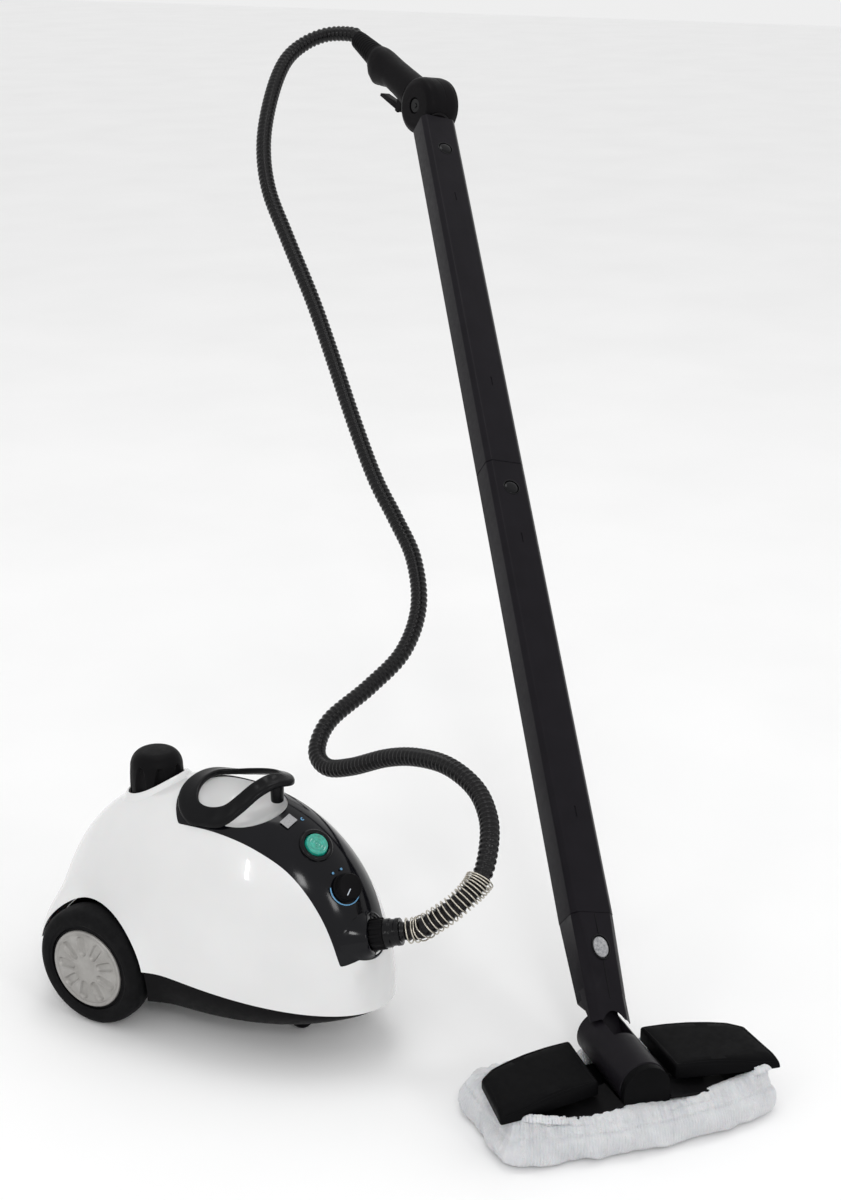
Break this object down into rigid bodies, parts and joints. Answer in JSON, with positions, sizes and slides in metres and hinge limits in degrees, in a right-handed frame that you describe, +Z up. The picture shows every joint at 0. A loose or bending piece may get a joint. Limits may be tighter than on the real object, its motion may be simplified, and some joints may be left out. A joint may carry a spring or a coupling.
{
  "type": "steam cleaner",
  "caption": "Wheeled egg-shaped steam canister with a carry loop and screw cap, and a corrugated hose to a pistol-grip gun on a leaning tube wand that ends in a cloth-covered floor head.",
  "frame": {"origin": "on the floor, under the middle of the whole machine without its hose", "axes": "+Z up; the canister faces -Y; its wheels roll about X; the wand leans back towards +X and +Y"},
  "size_m": [0.9822, 0.9953, 0.8587],
  "materials": {
    "base_tray": "satin",
    "boiler_tank": "cast",
    "button_bezel": "gloss",
    "cap_plug": "plain",
    "cap_seal": "satin",
    "carry_handle": "gloss",
    "caster_fork": "satin",
    "caster_socket": "plain",
    "caster_wheel": "satin",
    "clamp_wing_left": "satin",
    "clamp_wing_right": "satin",
    "cloth_bonnet": "looped terry cloth",
    "control_panel": "gloss",
    "cord_gland": "satin",
    "filler_cap": "satin",
    "filler_neck": "cast",
    "finger_dish": "gloss",
    "grip_shell_left": "satin",
    "grip_shell_right": "satin",
    "gun_knuckle": "satin",
    "gun_lock_screw": "satin",
    "gun_nozzle": "satin",
    "gun_relief": "satin",
    "head_base": "satin",
    "heater_band": "plain",
    "hubcap_left": "satin",
    "hubcap_right": "satin",
    "latch_lower": "satin",
    "latch_neck": "satin",
    "latch_upper": "satin",
    "microswitch": "satin",
    "neck_pin": "plain",
    "neck_socket": "satin",
    "outlet_bezel": "gloss",
    "outlet_collar": "satin",
    "outlet_sleeve": "gloss",
    "power_button": "gloss",
    "rear_axle": "plain",
    "safety_valve": "plain",
    "solenoid_valve": "satin",
    "spigot_lower": "satin",
    "spigot_upper": "satin",
    "steam_hose": "satin",
    "steam_knob": "satin",
    "steam_pipe": "plain",
    "steam_regulator": "cast",
    "steam_trigger": "satin",
    "strain_spring": "plain",
    "switch_body": "satin",
    "swivel_barrel": "satin",
    "trigger_lock": "satin",
    "tube_lower": "satin",
    "tube_upper": "satin",
    "tyre_left": "matte",
    "tyre_right": "matte",
    "upper_shell": "gloss",
    "vent_label": "satin",
    "wheel_hub_left": "satin",
    "wheel_hub_right": "satin"
  },
  "bodies": {
    "canister_and_wand": {"base_tray": "base_tray", "boiler_tank": "boiler_tank", "button_bezel": "button_bezel", "carry_handle": "carry_handle", "caster_socket": "caster_socket", "control_panel": "control_panel", "cord_gland": "cord_gland", "filler_neck": "filler_neck", "finger_dish": "finger_dish", "grip_shell_left": "grip_shell_left", "grip_shell_right": "grip_shell_right", "gun_knuckle": "gun_knuckle", "gun_lock_screw": "gun_lock_screw", "gun_nozzle": "gun_nozzle", "gun_relief": "gun_relief", "heater_band": "heater_band", "microswitch": "microswitch", "neck_socket": "neck_socket", "outlet_bezel": "outlet_bezel", "outlet_collar": "outlet_collar", "outlet_sleeve": "outlet_sleeve", "rear_axle": "rear_axle", "safety_valve": "safety_valve", "solenoid_valve": "solenoid_valve", "spigot_lower": "spigot_lower", "spigot_upper": "spigot_upper", "steam_hose": "steam_hose", "steam_pipe": "steam_pipe", "steam_regulator": "steam_regulator", "strain_spring": "strain_spring", "switch_body": "switch_body", "tube_lower": "tube_lower", "tube_upper": "tube_upper", "upper_shell": "upper_shell", "vent_label": "vent_label"},
    "wheel_left": {"tyre_left": "tyre_left", "wheel_hub_left": "wheel_hub_left", "hubcap_left": "hubcap_left"},
    "wheel_right": {"tyre_right": "tyre_right", "wheel_hub_right": "wheel_hub_right", "hubcap_right": "hubcap_right"},
    "caster_swivel": {"caster_fork": "caster_fork"},
    "caster_roller": {"caster_wheel": "caster_wheel"},
    "button": {"power_button": "power_button"},
    "knob": {"steam_knob": "steam_knob"},
    "cap_plug_body": {"cap_plug": "cap_plug", "cap_seal": "cap_seal"},
    "cap_shell": {"filler_cap": "filler_cap"},
    "trigger": {"steam_trigger": "steam_trigger"},
    "lock": {"trigger_lock": "trigger_lock"},
    "latch_button_neck": {"latch_neck": "latch_neck"},
    "latch_button_lower": {"latch_lower": "latch_lower"},
    "latch_button_upper": {"latch_upper": "latch_upper"},
    "swivel": {"swivel_barrel": "swivel_barrel", "neck_pin": "neck_pin"},
    "floor_head": {"head_base": "head_base", "cloth_bonnet": "cloth_bonnet"},
    "wing_left": {"clamp_wing_left": "clamp_wing_left"},
    "wing_right": {"clamp_wing_right": "clamp_wing_right"}
  },
  "joints": [
    {"name": "wheel_left_spin", "type": "hinge", "parent": "canister_and_wand", "child": "wheel_left", "pos_m": [-0.3812, 0.1686, 0.0595], "axis": [1, 0, 0], "continuous": true},
    {"name": "wheel_right_spin", "type": "hinge", "parent": "canister_and_wand", "child": "wheel_right", "pos_m": [-0.3812, 0.1686, 0.0595], "axis": [1, 0, 0], "continuous": true},
    {"name": "caster_turn", "type": "hinge", "parent": "canister_and_wand", "child": "caster_swivel", "pos_m": [-0.3812, -0.0164, 0.03], "axis": [0, 0, 1], "continuous": true},
    {"name": "caster_spin", "type": "hinge", "parent": "caster_swivel", "child": "caster_roller", "pos_m": [-0.3812, -0.0084, 0.014], "axis": [1, 0, 0], "continuous": true},
    {"name": "power_button_press", "type": "slide", "parent": "canister_and_wand", "child": "button", "axis": [0.2346, 0.5916, -0.7713], "range_m": [0, 0.0025], "stiffness_N_per_m": 400, "springref_m": -0.0005},
    {"name": "steam_knob_turn", "type": "hinge", "parent": "canister_and_wand", "child": "knob", "pos_m": [-0.3962, -0.0694, 0.16995], "axis": [-0.2816, -0.7845, 0.5525], "range_deg": [-135, 135]},
    {"name": "cap_lift", "type": "slide", "parent": "canister_and_wand", "child": "cap_plug_body", "axis": [0, 0, 1], "range_m": [0, 0.0062]},
    {"name": "cap_turn", "type": "hinge", "parent": "cap_plug_body", "child": "cap_shell", "pos_m": [-0.3812, 0.1516, 0.22], "axis": [0, 0, 1], "range_deg": [0, 720]},
    {"name": "trigger_squeeze", "type": "hinge", "parent": "canister_and_wand", "child": "trigger", "pos_m": [0.42632, 0.35463, 0.76652], "axis": [0.9091, -0.4016, -0.1111], "range_deg": [0, 5], "stiffness_Nm_per_rad": 1.5, "springref_deg": -1.15},
    {"name": "trigger_lock_slide", "type": "slide", "parent": "canister_and_wand", "child": "lock", "axis": [0.9091, -0.4016, -0.1111], "range_m": [-0.0028, 0.0028]},
    {"name": "latch_neck_press", "type": "slide", "parent": "canister_and_wand", "child": "latch_button_neck", "axis": [0.2662, 0.5839, -0.767], "range_m": [0, 0.002], "stiffness_N_per_m": 400, "springref_m": -0.0005},
    {"name": "latch_lower_press", "type": "slide", "parent": "canister_and_wand", "child": "latch_button_lower", "axis": [0.2662, 0.5839, -0.767], "range_m": [0, 0.002], "stiffness_N_per_m": 400, "springref_m": -0.0005},
    {"name": "latch_upper_press", "type": "slide", "parent": "canister_and_wand", "child": "latch_button_upper", "axis": [0.2662, 0.5839, -0.767], "range_m": [0, 0.002], "stiffness_N_per_m": 400, "springref_m": -0.0005},
    {"name": "neck_pitch", "type": "hinge", "parent": "canister_and_wand", "child": "swivel", "pos_m": [-0.3352, -0.3094, 0.05], "axis": [0.7423, -0.6318, -0.2233], "range_deg": [-15, 20]},
    {"name": "head_roll", "type": "hinge", "parent": "swivel", "child": "floor_head", "pos_m": [-0.3352, -0.3094, 0.05], "axis": [0.6481, 0.7615, 0], "range_deg": [-20, 20]},
    {"name": "wing_right_open", "type": "hinge", "parent": "floor_head", "child": "wing_right", "pos_m": [-0.40491, -0.28947, 0.0345], "axis": [0.6481, 0.7615, 0], "range_deg": [0, 8], "stiffness_Nm_per_rad": 1.5, "springref_deg": -2.86},
    {"name": "wing_left_open", "type": "hinge", "parent": "floor_head", "child": "wing_left", "pos_m": [-0.30438, -0.37502, 0.0345], "axis": [-0.6481, -0.7615, 0], "range_deg": [0, 8], "stiffness_Nm_per_rad": 1.5, "springref_deg": -2.86}
  ],
  "couplings": [
    {"joint": "cap_lift", "follows": "cap_turn", "m_per_rad": 0.0004775}
  ]
}
